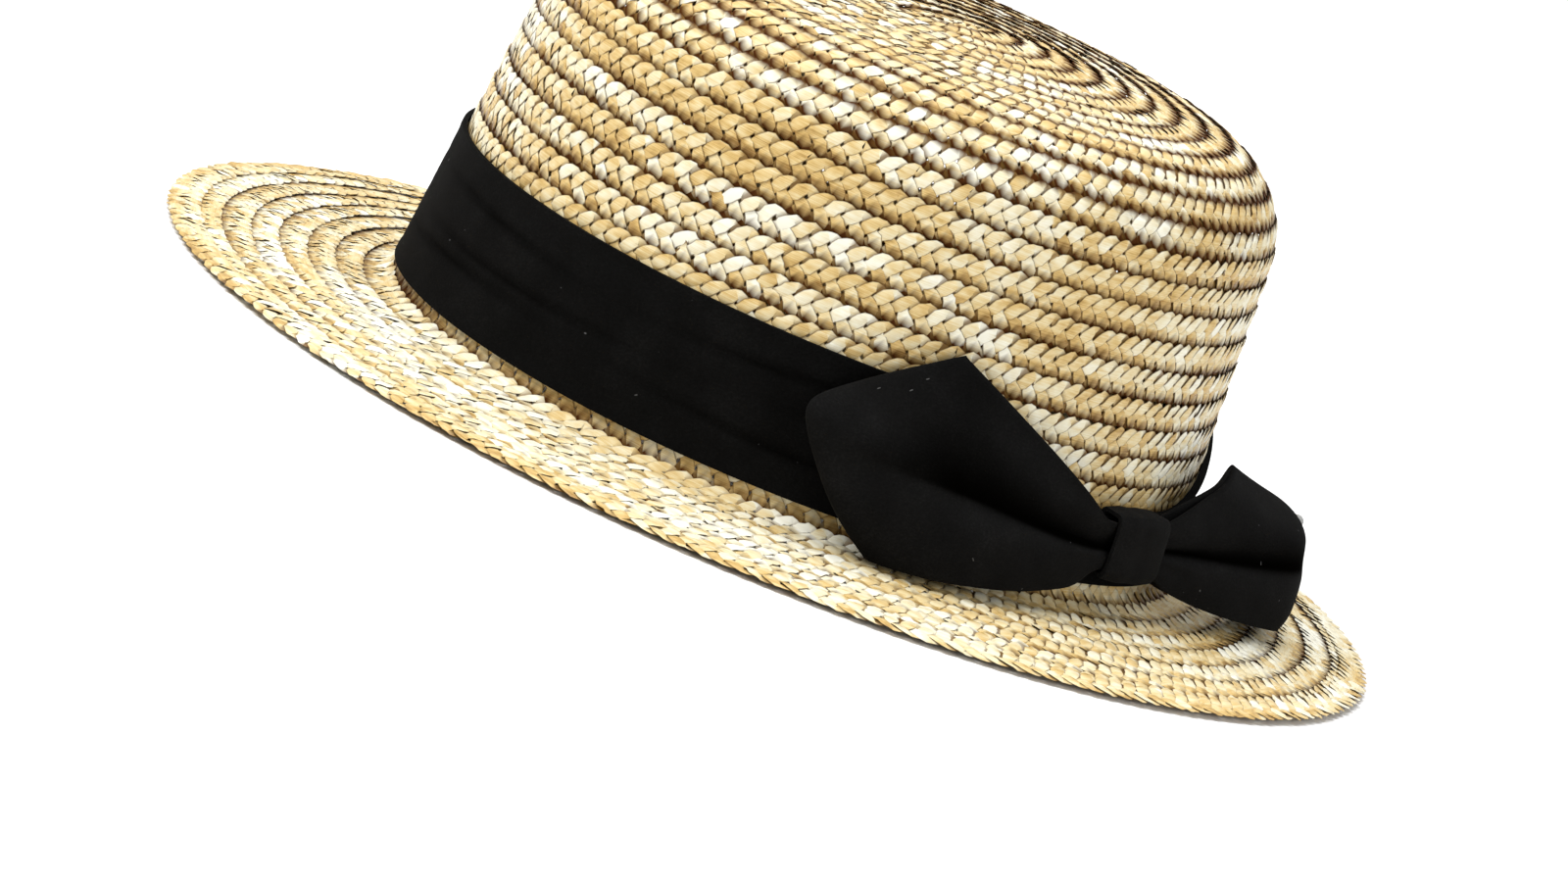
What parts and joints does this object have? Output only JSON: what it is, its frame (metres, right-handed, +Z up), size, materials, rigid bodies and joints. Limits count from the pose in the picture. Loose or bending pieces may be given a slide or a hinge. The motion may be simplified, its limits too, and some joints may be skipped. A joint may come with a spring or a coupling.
{
  "type": "straw boater hat",
  "caption": "Straw boater hat with a flat brim, a rounded flat-topped crown, a black cloth band and a flat black side bow.",
  "frame": {"origin": "middle of the hat at the height of the brim's standing edge, where the hat meets the table", "axes": "+Z up through the crown, -Y towards the hat's front, +X towards the wearer's left, where the bow sits"},
  "size_m": [0.28, 0.302, 0.102],
  "materials": {
    "straw": "satin",
    "black_cloth": "matte"
  },
  "bodies": {
    "root": {"crown": "straw", "brim": "straw", "band": "black_cloth", "bow_knot": "black_cloth", "bow_loop_front": "black_cloth", "bow_loop_back": "black_cloth"}
  },
  "joints": []
}
